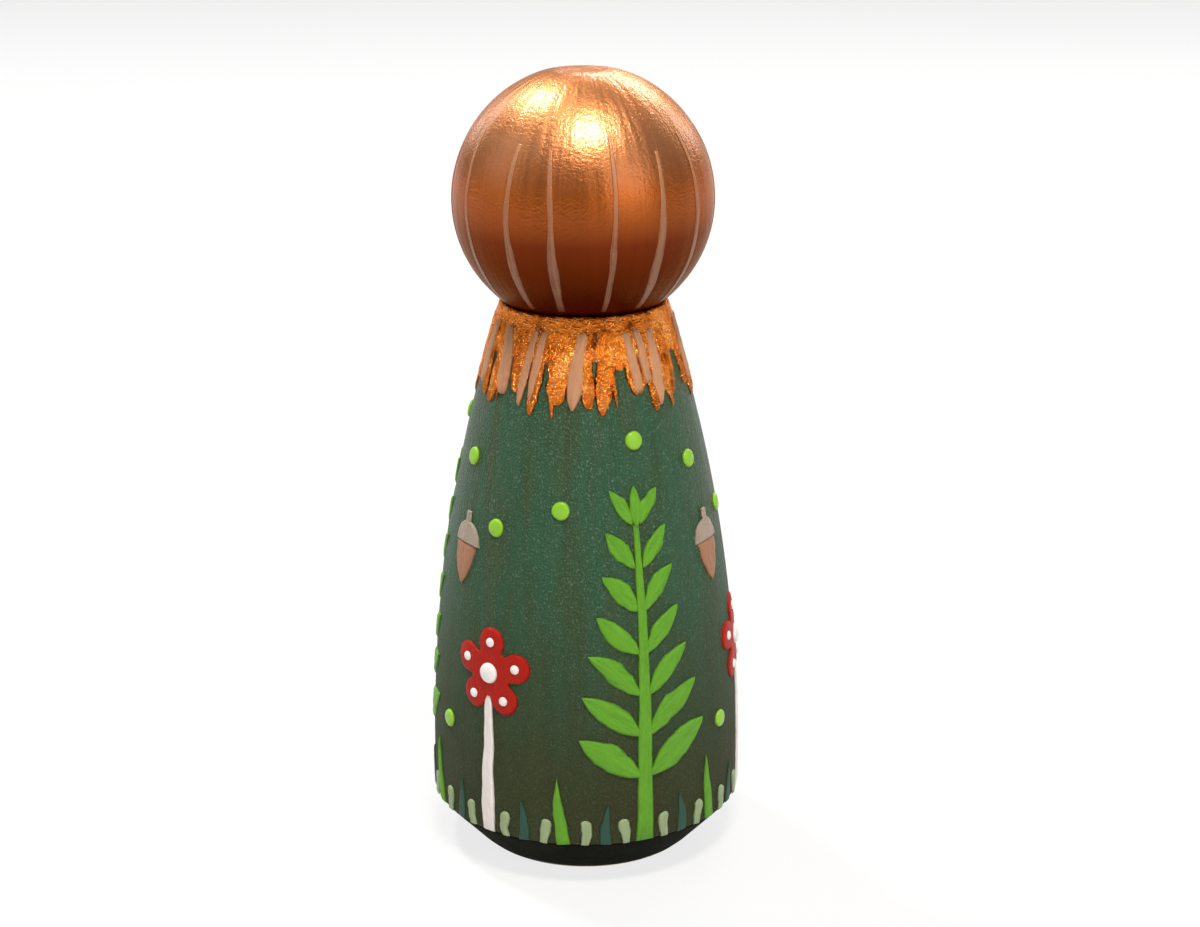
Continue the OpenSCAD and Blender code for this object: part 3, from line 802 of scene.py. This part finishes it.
def fringe():
    """The copper band below the neck, ragged at its lower edge, and the strokes that hang from it."""
    sheets = Sheets()
    turn = turns(COLLAR_GRID[0])
    down = np.linspace(0, 1, COLLAR_GRID[1])[None, :]
    share = turn / TURN
    edge = 0.7 * lattice_noise(share, 0 * share, 46, 1, 51)
    edge = edge + 0.5 * lattice_noise(share, 0 * share, 130, 1, 54)
    reach = COLLAR_H * (0.88 + 0.16 * edge)
    z = BODY_H - reach * down
    lumps = 0.5 * lattice_noise(share, down, 110, 9, 52)
    lumps = lumps + 0.5 * lattice_noise(share, down, 52, 4, 53)
    lift = COAT_T + FRINGE_T * (0.72 + 0.28 * lumps) * np.clip((1 - down) * 9, 0, 1) ** 0.5
    lift = lift - 0.6 * FRINGE_T * np.clip(1 - down * 14, 0, 1) ** 2
    lift = np.where(down > LAST, COAT_T - SINK, lift)
    outer = sheets.add(side_point(turn, z, lift))
    seam = sheets.add(ring(turn, HEAD_SEAT_D / 2 - COLLAR_LIP, BODY_H + SEAM_GAP))
    inner_z = z[:, ::-6]
    inner = sheets.add(side_point(turn, inner_z, COAT_T - SINK + 0 * inner_z))
    sheets.quads(np.concatenate([seam, outer, inner, seam], 1)[:, ::-1], wrap=True)
    top, full = BODY_H - FRINGE_TOP * FRINGE_H, (1 - FRINGE_TOP) * FRINGE_H
    for i in range(FRINGE_COUNT):
        length = full * mix(0.76, 1, (1 + vary(i)) / 2)
        brush_stroke(
            sheets,
            on_side(i * 360 / FRINGE_COUNT, top),
            dab_outline(FRINGE_W * (0.92 + 0.2 * vary(i + 7)), (1 + vary(i + 13)) / 2),
            length,
            FRINGE_T,
            lean=6 * vary(i + 1),
            start=(0, -length),
            bend=0.025 * vary(i + 5),
            ragged=0.24,
            seed=100 + i,
            rows=34,
        )
    for i in range(FRINGE_COUNT):
        length = full * mix(0.68, 1, (1 + vary(i + 8)) / 2)
        brush_stroke(
            sheets,
            on_side((i + 0.5 + 0.2 * vary(i + 9)) * 360 / FRINGE_COUNT, top),
            dab_outline(FRINGE_W * mix(0.14, 0.36, (1 + vary(i + 11)) / 2), 1),
            length,
            FRINGE_T * 0.8,
            lean=8 * vary(i + 3),
            start=(0, -length),
            bend=0.03 * vary(i + 6),
            ragged=0.3,
            seed=130 + i,
            rows=34,
            columns=7,
        )
    sheets.build("fringe", fringe_paint(), "fringe_copper", "hair_fringe")


def highlights():
    """Light strokes on the fringe. Every third is split in two by the brush."""
    light = Sheets()
    top = BODY_H - HIGHLIGHT_TOP * FRINGE_H
    for i in range(HIGHLIGHT_COUNT):
        length = HIGHLIGHT_L * (1 + vary(i + 1) / 8)
        width = HIGHLIGHT_W * (1.16 + 0.14 * vary(i + 5))
        split = ((-0.26, 0.58, 1.0), (0.26, 0.58, 0.9)) if i % 3 == 1 else ((0, 1.0, 1.0),)
        for part, (side, share, reach) in enumerate(split):
            brush_stroke(
                light,
                on_side((i + vary(i) / 4) * 360 / HIGHLIGHT_COUNT, top),
                dab_outline(width * share, (1 + vary(i + 6)) / 2),
                length * reach,
                HIGHLIGHT_T,
                lean=9 * vary(i + 2) + 5 * side,
                start=(side * width, -length * reach),
                bend=0.02 * vary(i + 7),
                ragged=0.22,
                seed=160 + 2 * i + part,
                rows=34,
            )
    paint = stroke_paint(
        "highlight_tan",
        (0.51, 0.25, 0.125),
        (0.42, 0.18, 0.08),
        (0.12, 0.055, 0.03),
        ridge=0.2,
        shine=0.48,
        gloss=0.35,
        see_through=0.36,
    )
    light.build("fringe_light", paint, "highlight_tan", "fringe_highlights")


# Painted border


def each_sector(turn=0):
    """The azimuths of a mark that every sector repeats."""
    return [SPRIG_AZIMUTH + i * SECTOR + turn for i in range(SPRIG_COUNT)]


def lime_paint(name):
    """The bright green of the sprigs and the blades."""
    return stroke_paint(
        name,
        (0.125, 0.345, 0.018),
        (0.068, 0.215, 0.012),
        GREEN_BELOW,
        ridge=0.2,
        shine=0.46,
        gloss=0.2,
        streak=0.55,
        see_through=0.3,
    )


def sprigs():
    """Upright stems with pairs of leaves that shrink towards the tip."""
    stems, leaves = Sheets(), Sheets()
    for n, azimuth in enumerate(each_sector()):
        outline, foot = taper_outline(STEM_W, STEM_W * STEM_TIP), on_side(azimuth, FOOT_H)
        brush_stroke(stems, foot, outline, SPRIG_STEM_H, STROKE_T, ragged=0.18, seed=200 + n, rows=70)
        for i in range(LEAF_PAIRS):
            t = i / (LEAF_PAIRS - 1)
            size = mix(1, LEAF_TIP_SIZE, t)
            z = FOOT_H + SPRIG_H * mix(LEAF_FIRST, LEAF_LAST, t)
            for side in (-1, 1):
                root = side * LEAF_ROOT * STEM_W
                lean = -side * mix(LEAF_LEAN_LOW, LEAF_LEAN_HIGH, t)
                reach = -math.sin(math.radians(lean)) * LEAF_L * size / 2
                shift = on_side(azimuth + turn_for(root + reach, z), z)
                brush_stroke(
                    leaves,
                    lambda x, y, lift, shift=shift, reach=reach: shift(x - reach, y, lift),
                    leaf_outline(LEAF_L * size, LEAF_W * size * (1 + 0.08 * vary(3 * i + side + n))),
                    LEAF_L * size * (0.96 + 0.04 * vary(2 * i + side + n)),
                    STROKE_T,
                    lean=lean + 3 * vary(5 * i + side + n),
                    bend=-0.03 * side + 0.02 * vary(i + side),
                    ragged=0.16,
                    seed=220 + 40 * n + 2 * i + side,
                )
        tip = on_side(azimuth, FOOT_H + SPRIG_STEM_H - STEM_W * STEM_TIP / 2)
        length, width = LEAF_L * LEAF_TIP_SIZE, LEAF_W * LEAF_TIP_SIZE
        brush_stroke(leaves, tip, leaf_outline(length, width), length, STROKE_T, seed=350 + n)
    paint = lime_paint("leaf_green")
    stems.build("stems", paint, "leaf_green", "sprig_stems")
    leaves.build("leaves", paint, "leaf_green", "sprig_leaves")


def rosette_radius(angle):
    """The outline of five round petals on a disc."""
    out, petal = (FLOWER_D - PETAL_W) / 2, PETAL_W / 2
    r = PETAL_DISC * FLOWER_D + 0 * angle
    for i in range(PETAL_COUNT):
        off = angle - i * TURN / PETAL_COUNT
        reach = petal**2 - (out * np.sin(off)) ** 2
        far = out * np.cos(off) + np.sqrt(np.maximum(reach, 0))
        r = np.where((reach > 0) & (np.cos(off) > 0), np.maximum(r, far), r)
    return r


def flowers():
    """Red rosettes with white dots on pale stems."""
    petals, spots, stems = Sheets(), Sheets(), Sheets()
    out = (FLOWER_D - PETAL_W) / 2
    for n, azimuth in enumerate(each_sector(FLOWER_TURN)):
        centre, foot = on_side(azimuth, FLOWER_Z), on_side(azimuth, FOOT_H)
        shape = {"rings": 14, "sectors": 150, "flat_top": 8}
        polar_patch(petals, centre, rosette_radius, STROKE_T, seed=400 + n, **shape)
        height = FLOWER_Z - FOOT_H - PETAL_DISC * FLOWER_D + OVERLAP
        outline = taper_outline(FLOWER_STEM_W, FLOWER_STEM_W * FLOWER_STEM_TIP)
        brush_stroke(stems, foot, outline, height, STROKE_T, ragged=0.2, seed=410 + n, rows=40)
        base = COAT_T + STROKE_T - DOT_SINK
        centre = on_side(azimuth, FLOWER_Z, base)
        round_patch(spots, centre, CENTRE_SPOT_D, CENTRE_SPOT_T, seed=420 + n, flat_top=2)
        for i in range(PETAL_COUNT):
            angle = i * TURN / PETAL_COUNT
            z = FLOWER_Z + out * math.cos(angle)
            place = on_side(azimuth + turn_for(-out * math.sin(angle), z), z, base)
            round_patch(spots, place, PETAL_SPOT_D, PETAL_SPOT_T, seed=430 + 5 * n + i, flat_top=2)
    red = stroke_paint(
        "petal_red",
        (0.40, 0.012, 0.004),
        (0.29, 0.008, 0.003),
        (0.12, 0.008, 0.004),
        ridge=0.14,
        shine=0.46,
        gloss=0.12,
        see_through=0.2,
    )
    petals.build("petals", red, "petal_red", "flower_petals")
    white = dot_paint("spot_white", (0.80, 0.76, 0.73), (0.70, 0.66, 0.62), shine=0.4)
    spots.build("petal_dots", white, "spot_white", "flower_spots")
    pale = stroke_paint(
        "stem_white",
        (0.82, 0.75, 0.71),
        (0.68, 0.61, 0.58),
        (0.20, 0.22, 0.17),
        ridge=0.2,
        shine=0.5,
        gloss=0.35,
        see_through=0.2,
    )
    stems.build("pale_stems", pale, "stem_white", "flower_stems")


def acorns():
    """Plain acorns: a pointed nut, a domed cap and its stalk."""
    nuts, caps = Sheets(), Sheets()
    nut_l, cap_r, stalk = ACORN_NUT * ACORN_D, ACORN_CAP * ACORN_D / 2, ACORN_STALK * ACORN_D
    whole = half_leaf_outline(nut_l, ACORN_D)
    dome = lambda u: np.sqrt(np.maximum(1 - u**2, 0.002)) * cap_r
    for n, azimuth in enumerate(each_sector(ACORN_TURN)):
        place = on_side(azimuth, ACORN_Z)
        brush_stroke(
            nuts,
            place,
            lambda u: whole(1 - u),
            nut_l,
            STROKE_T,
            start=(0, -nut_l),
            ragged=0.06,
            seed=500 + n,
            columns=13,
        )
        brush_stroke(caps, place, dome, cap_r, STROKE_T, ragged=0.05, seed=510 + n, rows=22, columns=13)
        top = on_side(azimuth, ACORN_Z + cap_r - OVERLAP)
        outline = taper_outline(stalk, stalk * STALK_TIP)
        brush_stroke(caps, top, outline, stalk + OVERLAP, STROKE_T, seed=520 + n)
    brown = (0.36, 0.16, 0.08), (0.27, 0.11, 0.05), (0.12, 0.06, 0.03)
    grey = (0.36, 0.28, 0.21), (0.27, 0.20, 0.15), (0.10, 0.08, 0.05)
    nuts.build("nuts", stroke_paint("nut_brown", *brown, see_through=0.2), "nut_brown", "acorn_nuts")
    caps.build("caps", stroke_paint("cap_grey", *grey, see_through=0.2), "cap_grey", "acorn_caps")


def dots():
    """Lime drops scattered over the cloak."""
    sheets = Sheets()
    for n, azimuth in enumerate(each_sector()):
        for i, (turn, rise) in enumerate(DOT_PLACES):
            place = on_side(azimuth + turn * SECTOR, FOOT_H + rise * FIELD_H)
            round_patch(sheets, place, DOT_D, DOT_T, seed=600 + 7 * n + i, wobble=0.05, flat_top=3)
    paint = dot_paint("dot_lime", (0.25, 0.51, 0.014), (0.16, 0.40, 0.01), shine=0.36)
    sheets.build("glow_dots", paint, "dot_lime", "light_dots")


def grass():
    """Blades, spikes and drops that stand on the hem."""
    kinds = {
        "blade": (Sheets(), half_leaf_outline(BLADE_H, BLADE_W), BLADE_H),
        "spike": (Sheets(), half_leaf_outline(SPIKE_H, SPIKE_W), SPIKE_H),
        "drop": (Sheets(), drop_outline(DROP_H, DROP_W), DROP_H),
    }
    step = SECTOR / 2 / (len(GRASS_ORDER) + 1)
    for half in (0, FLOWER_TURN):
        for i, kind in enumerate(GRASS_ORDER):
            sheets, outline, height = kinds[kind]
            for n, azimuth in enumerate(each_sector(half)):
                brush_stroke(
                    sheets,
                    on_side(azimuth + (i + 1) * step, FOOT_H),
                    outline,
                    height,
                    STROKE_T * (SPIKE_THIN if kind == "spike" else 1),
                    lean=7 * vary(i),
                    bend=0.04 * vary(i + n + 2),
                    ragged=0.16,
                    seed=700 + 31 * n + 3 * i + int(half),
                    rows=24,
                )
    teal = stroke_paint(
        "spike_teal",
        (0.011, 0.070, 0.044),
        (0.018, 0.060, 0.036),
        GREEN_BELOW,
        ridge=0.1,
        shine=0.5,
        gloss=0.35,
        streak=0.8,
        see_through=0.5,
    )
    sage = stroke_paint(
        "drop_sage",
        (0.31, 0.38, 0.20),
        (0.20, 0.27, 0.12),
        (0.16, 0.20, 0.10),
        ridge=0.18,
        see_through=0.3,
    )
    kinds["blade"][0].build("blades", lime_paint("blade_green"), "leaf_green", "grass_blades")
    kinds["spike"][0].build("spikes", teal, "spike_teal", "grass_spikes")
    kinds["drop"][0].build("drops", sage, "drop_sage", "grass_drops")


def wood():
    """The bare wood keeps its CAD shape and gets a grain."""
    blank = wood_paint("wood_grain", (0.74, 0.53, 0.32), (0.52, 0.32, 0.16), across=210)
    pin = wood_paint("dowel_grain", (0.66, 0.44, 0.24), (0.44, 0.25, 0.12), across=260)
    for node, material in (("turned_body", blank), ("ball_head", blank), ("neck_dowel", pin)):
        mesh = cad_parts[node].data
        mesh.materials.clear()
        mesh.materials.append(material)


# Stage: lamps as name, place and size in metres, power in watts and colour, all aimed at one point

LAMP_AIM = (0, 0, 0.06)
LAMPS = [
    ("overhead", (0.05, -0.23, 0.65), (0.20, 0.09), 3.9, (1.0, 0.97, 0.93)),
    ("window_back", (-0.39, 0.40, 0.905), (0.12, 0.10), 6.6, (0.95, 0.98, 1.0)),
    ("window_far", (0.22, 0.70, 0.55), (0.45, 0.08), 2.8, (0.97, 0.99, 1.0)),
    ("window_left", (-0.9, -0.1, 0.5), (0.5, 0.7), 0.8, (0.9, 0.96, 1.0)),
    ("rim_left", (-0.5, 0.7, 0.45), (0.25, 0.5), 1.0, (0.85, 0.94, 1.0)),
    ("rim_right", (0.62, 0.72, 0.45), (0.3, 0.5), 1.4, (0.88, 0.95, 1.0)),
    ("fill_front", (0.72, -0.82, 0.42), (0.7, 0.7), 2.6, (1.0, 0.98, 0.95)),
]
FLOOR_HALF = 6.0
SKY_COLOUR, SKY_STRENGTH = (0.93, 0.97, 1.0, 1), 0.3


def area_light(name, place, size, power, colour):
    """One lamp of the table, hidden from the camera."""
    lamp = bpy.data.lights.new(name, "AREA")
    lamp.shape, lamp.size, lamp.size_y = "RECTANGLE", *size
    lamp.energy, lamp.color = power, colour
    thing = bpy.data.objects.new(name, lamp)
    thing.location, thing.visible_camera = place, False
    thing.rotation_euler = (Vector(LAMP_AIM) - Vector(place)).to_track_quat("-Z", "Y").to_euler()
    bpy.context.scene.collection.objects.link(thing)


def floor_paint():
    """A pale matt floor, mixed with white where it is seen or mirrored, so that it stays pale far away."""
    p = Paint("floor_white", Roughness=0.8, Specular_IOR_Level=0.1)
    cloud = p.noise(p.place(), (3, 3, 3), 2, 0.5)
    p.colour(p.ramp(cloud, (0.0, (0.68, 0.66, 0.63)), (1.0, (0.72, 0.70, 0.67))))
    rays = p.add("LightPath").outputs
    mirrored = p.math("ADD", rays["Is Glossy Ray"], rays["Is Transmission Ray"])
    seen = p.math("ADD", rays["Is Camera Ray"], mirrored, True)
    white = p.add("Emission", {"Color": (1, 1, 1, 1), "Strength": 1.0}).outputs[0]
    share = p.math("MULTIPLY", seen, FLOOR_WHITE)
    both = p.add("MixShader", {0: share, 1: p.shader.outputs[0], 2: white}).outputs[0]
    p.tree.links.new(both, p.tree.nodes["Material Output"].inputs["Surface"])
    return p.material


def stage():
    """The floor, the dim sky and the lamps."""
    mesh = bpy.data.meshes.new("floor")
    corners = [(x * FLOOR_HALF, y * FLOOR_HALF, 0) for x, y in ((-1, -1), (1, -1), (1, 1), (-1, 1))]
    mesh.from_pydata(corners, [], [(0, 1, 2, 3)])
    mesh.materials.append(floor_paint())
    floor = bpy.data.objects.new("floor", mesh)
    bpy.context.scene.collection.objects.link(floor)
    world = bpy.data.worlds.new("studio")
    world.use_nodes = True
    background = world.node_tree.nodes["Background"]
    background.inputs["Color"].default_value = SKY_COLOUR
    background.inputs["Strength"].default_value = SKY_STRENGTH
    bpy.context.scene.world = world
    for lamp in LAMPS:
        area_light(*lamp)


def camera():
    """The photograph's view, from a camera fitted to the doll's outline."""
    place, aim = Vector((0, -0.230, 0.11706)), Vector((0, 0, 0.045))
    image_w, image_h, focal_px, aim_x, aim_y, roll = 1200, 927, 2121.4, 584.42, 457.6, -0.005
    data = bpy.data.cameras.new("camera")
    data.sensor_width = 36
    data.lens = focal_px / image_w * data.sensor_width
    data.shift_x = (image_w / 2 - aim_x) / image_w
    data.shift_y = (aim_y - image_h / 2) / image_w
    data.clip_start = 0.01
    thing = bpy.data.objects.new("camera", data)
    thing.location = place
    look = (aim - place).to_track_quat("-Z", "Y").to_matrix()
    thing.rotation_euler = (look @ Matrix.Rotation(roll, 3, "Z")).to_euler()
    bpy.context.scene.collection.objects.link(thing)
    bpy.context.scene.camera = thing


camera()
cloak()
hem()
hair()
face()
strands()
fringe()
highlights()
sprigs()
flowers()
acorns()
dots()
grass()
wood()
stage()
bpy.context.scene.view_settings.view_transform = "Standard"
